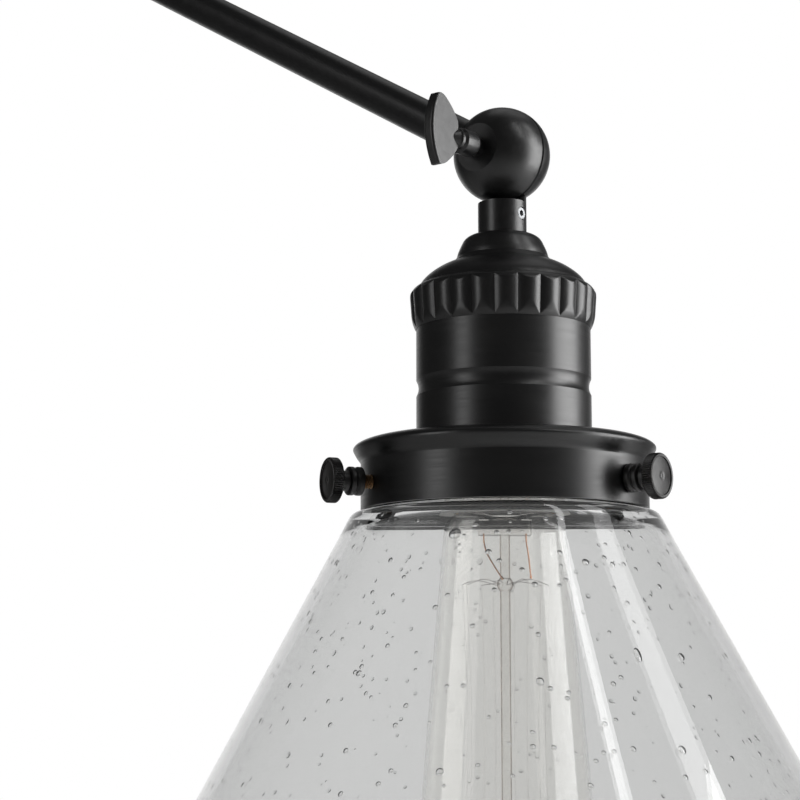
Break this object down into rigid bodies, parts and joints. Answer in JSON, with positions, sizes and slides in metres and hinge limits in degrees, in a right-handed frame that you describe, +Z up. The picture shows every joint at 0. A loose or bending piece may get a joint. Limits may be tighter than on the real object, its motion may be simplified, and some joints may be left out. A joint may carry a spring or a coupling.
{
  "type": "wall sconce",
  "caption": "Swivel-arm wall light: black metal arm, fluted lamp holder and a flared clear seeded glass shade hanging round a clear bulb.",
  "frame": {"origin": "middle of the wall plate's back face, on the wall", "axes": "+Y into the wall, +Z up, the lamp stands out towards -Y"},
  "size_m": [0.1992, 0.4373, 0.4394],
  "materials": {
    "black_metal": "satin black over brushed metal",
    "screw_black": "blackened, bare on the thread",
    "zinc": "zinc plated",
    "ground_green": "green dyed",
    "lead_jacket": "matt",
    "ceramic": "unglazed white",
    "brass": "plain",
    "copper": "copper coated wire",
    "nickel": "nickel plated",
    "solder": "dull",
    "cap_insulator": "black glass",
    "shade_glass": "clear with trapped bubbles",
    "bulb_glass": "clear",
    "fine_wire": "fine wire"
  },
  "bodies": {
    "wall": {"wall_plate": "black_metal", "mounting_strap": "zinc", "plate_studs": "zinc", "plate_cap_nuts": "black_metal", "ground_screw": "ground_green", "wall_nipple": "zinc", "wall_lock_nut": "zinc", "wall_leads": "lead_jacket", "wall_swivel_half": "black_metal"},
    "arm": {"arm_wall_half": "black_metal", "arm_tube": "black_metal", "arm_lamp_half": "black_metal", "arm_leads": "lead_jacket"},
    "head": {"head_swivel_half": "black_metal", "neck_set_screw": "zinc", "head_nipple": "zinc", "head_lock_nut": "zinc", "neck_leads": "lead_jacket", "socket_leads": "lead_jacket", "socket_cap": "black_metal", "fluted_ring": "black_metal", "socket_shell": "black_metal", "socket_core": "ceramic", "screw_shell": "brass", "centre_contact": "brass", "fitter_clamp_ring": "black_metal", "fitter": "black_metal", "shade_glass": "shade_glass"},
    "bulb": {"bulb_glass": "bulb_glass", "bulb_cap": "nickel", "bulb_cap_insulator": "cap_insulator", "bulb_tip": "solder", "bulb_stem": "bulb_glass", "bulb_leads": "copper", "bulb_supports": "fine_wire", "bulb_filament": "fine_wire"},
    "wall_wing": {"wall_wing_screw": "black_metal"},
    "head_wing": {"head_wing_screw": "black_metal"},
    "screw_1": {"thumbscrew_1": "screw_black"},
    "screw_2": {"thumbscrew_2": "screw_black"},
    "screw_3": {"thumbscrew_3": "screw_black"}
  },
  "joints": [
    {"name": "arm_lift", "type": "hinge", "parent": "wall", "child": "arm", "pos_m": [0, -0.046, 0], "axis": [1, 0, 0], "range_deg": [-60, 25]},
    {"name": "head_tilt", "type": "hinge", "parent": "arm", "child": "head", "pos_m": [0, -0.33774, -0.1746], "axis": [1, 0, 0], "range_deg": [-45, 35]},
    {"name": "wall_wing_turn", "type": "hinge", "parent": "wall", "child": "wall_wing", "pos_m": [0, -0.046, 0], "axis": [1, 0, 0], "range_deg": [-180, 180]},
    {"name": "head_wing_turn", "type": "hinge", "parent": "head", "child": "head_wing", "pos_m": [0, -0.33774, -0.1746], "axis": [1, 0, 0], "range_deg": [-180, 180]},
    {"name": "bulb_turn", "type": "hinge", "parent": "head", "child": "bulb", "pos_m": [0, -0.33774, -0.2683], "axis": [0, 0, 1], "continuous": true},
    {"name": "screw_1_out", "type": "slide", "parent": "head", "child": "screw_1", "axis": [0.8526, 0.5225, 0], "range_m": [0, 0.004]},
    {"name": "screw_2_out", "type": "slide", "parent": "head", "child": "screw_2", "axis": [-0.8788, 0.4772, 0], "range_m": [-0.0023, 0.0017]},
    {"name": "screw_3_out", "type": "slide", "parent": "head", "child": "screw_3", "axis": [0.0262, -0.9997, 0], "range_m": [0, 0.004]}
  ]
}
